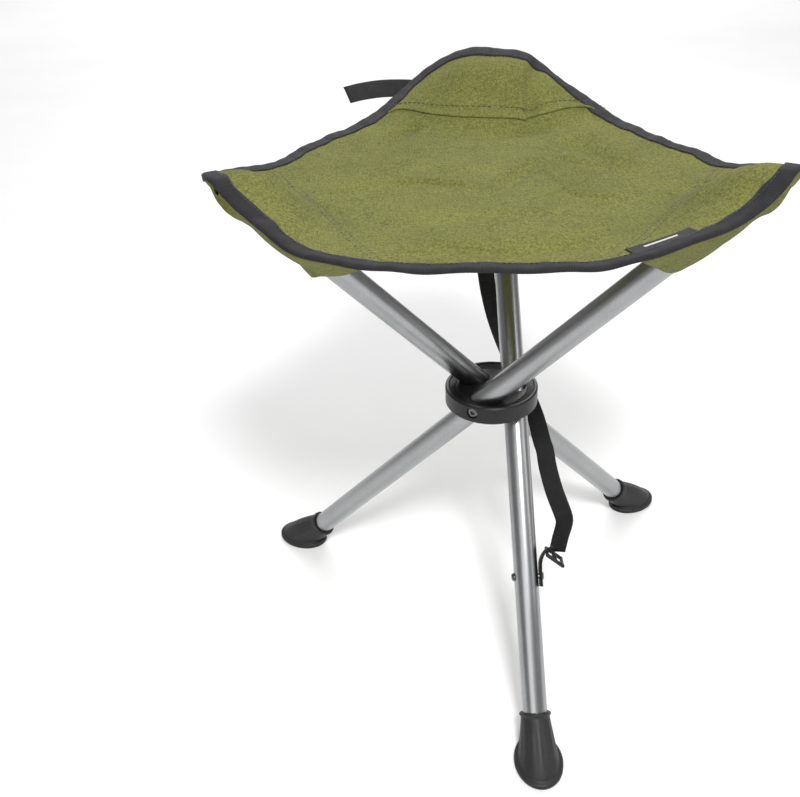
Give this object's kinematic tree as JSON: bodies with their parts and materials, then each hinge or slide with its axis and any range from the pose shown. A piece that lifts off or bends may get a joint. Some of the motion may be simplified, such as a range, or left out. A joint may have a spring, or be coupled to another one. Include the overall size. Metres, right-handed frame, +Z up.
{
  "type": "folding tripod stool",
  "caption": "Folding tripod camp stool: crossed tube legs pivot in a moulded hub and spread a fabric sling seat.",
  "frame": {"origin": "centre of the bounds' bottom face, on the floor", "axes": "+Z up along the hub's axis, the front foot points towards -Y and the back seat corner towards +Y, +X to the sitter's right"},
  "size_m": [0.4015, 0.4272, 0.4367],
  "materials": {
    "hub_plastic": "satin moulded nylon",
    "screw_steel": "dark zinc",
    "tube_alloy": "satin anodised",
    "boot_rubber": "moulded, slightly dusty",
    "cap_plastic": "moulded",
    "seat_cloth": "plain weave polyester",
    "binding_tape": "ribbed grosgrain tape",
    "label_weave": "satin woven tab with a plain stripe",
    "closure_tape": "hook tape",
    "webbing": "woven polypropylene",
    "buckle_plastic": "moulded"
  },
  "bodies": {
    "hub": {"hub_body": "hub_plastic", "front_pivot_screw": "screw_steel", "left_pivot_screw": "screw_steel", "right_pivot_screw": "screw_steel", "seat_panel": "seat_cloth", "seat_binding": "binding_tape"},
    "front_leg": {"front_leg_tube": "tube_alloy", "front_foot_boot": "boot_rubber", "front_tube_cap": "cap_plastic", "carry_strap": "webbing", "strap_buckle": "buckle_plastic", "strap_anchor": "webbing", "strap_rivet": "screw_steel"},
    "left_leg": {"left_leg_tube": "tube_alloy", "left_foot_boot": "boot_rubber", "left_tube_cap": "cap_plastic"},
    "right_leg": {"right_leg_tube": "tube_alloy", "right_foot_boot": "boot_rubber", "right_tube_cap": "cap_plastic"},
    "back_corner": {"back_corner_pocket": "seat_cloth", "closure_strap": "closure_tape"},
    "right_corner": {"right_corner_pocket": "seat_cloth", "label_tab": "label_weave"},
    "left_corner": {"left_corner_pocket": "seat_cloth"}
  },
  "joints": [
    {"name": "front_leg_fold", "type": "hinge", "parent": "hub", "child": "front_leg", "pos_m": [0.0223, 0.0056, 0.21403], "axis": [1, 0, 0], "range_deg": [0, 38], "deforming": ["seat_panel", "seat_binding"]},
    {"name": "left_leg_fold", "type": "hinge", "parent": "hub", "child": "left_leg", "pos_m": [-0.00545, -0.01042, 0.21403], "axis": [-0.5, -0.866, 0], "range_deg": [0, 38]},
    {"name": "right_leg_fold", "type": "hinge", "parent": "hub", "child": "right_leg", "pos_m": [-0.00545, 0.02162, 0.21403], "axis": [-0.5, 0.866, 0], "range_deg": [0, 38]},
    {"name": "back_corner_turn", "type": "hinge", "parent": "front_leg", "child": "back_corner", "pos_m": [0.0223, 0.19162, 0.42062], "axis": [1, 0, 0], "range_deg": [0, 37], "deforming": ["back_corner_pocket", "closure_strap"]},
    {"name": "right_corner_turn", "type": "hinge", "parent": "left_leg", "child": "right_corner", "pos_m": [0.15565, -0.10343, 0.42062], "axis": [-0.5, -0.866, 0], "range_deg": [0, 37], "deforming": ["label_tab", "right_corner_pocket"]},
    {"name": "left_corner_turn", "type": "hinge", "parent": "right_leg", "child": "left_corner", "pos_m": [-0.16655, -0.07139, 0.42062], "axis": [-0.5, 0.866, 0], "range_deg": [0, 37], "deforming": ["left_corner_pocket"]}
  ],
  "couplings": [
    {"joint": "left_leg_fold", "follows": "front_leg_fold", "ratio": 1},
    {"joint": "right_leg_fold", "follows": "front_leg_fold", "ratio": 1},
    {"joint": "back_corner_turn", "follows": "front_leg_fold", "ratio": 0.97368},
    {"joint": "right_corner_turn", "follows": "front_leg_fold", "ratio": 0.97368},
    {"joint": "left_corner_turn", "follows": "front_leg_fold", "ratio": 0.97368}
  ]
}
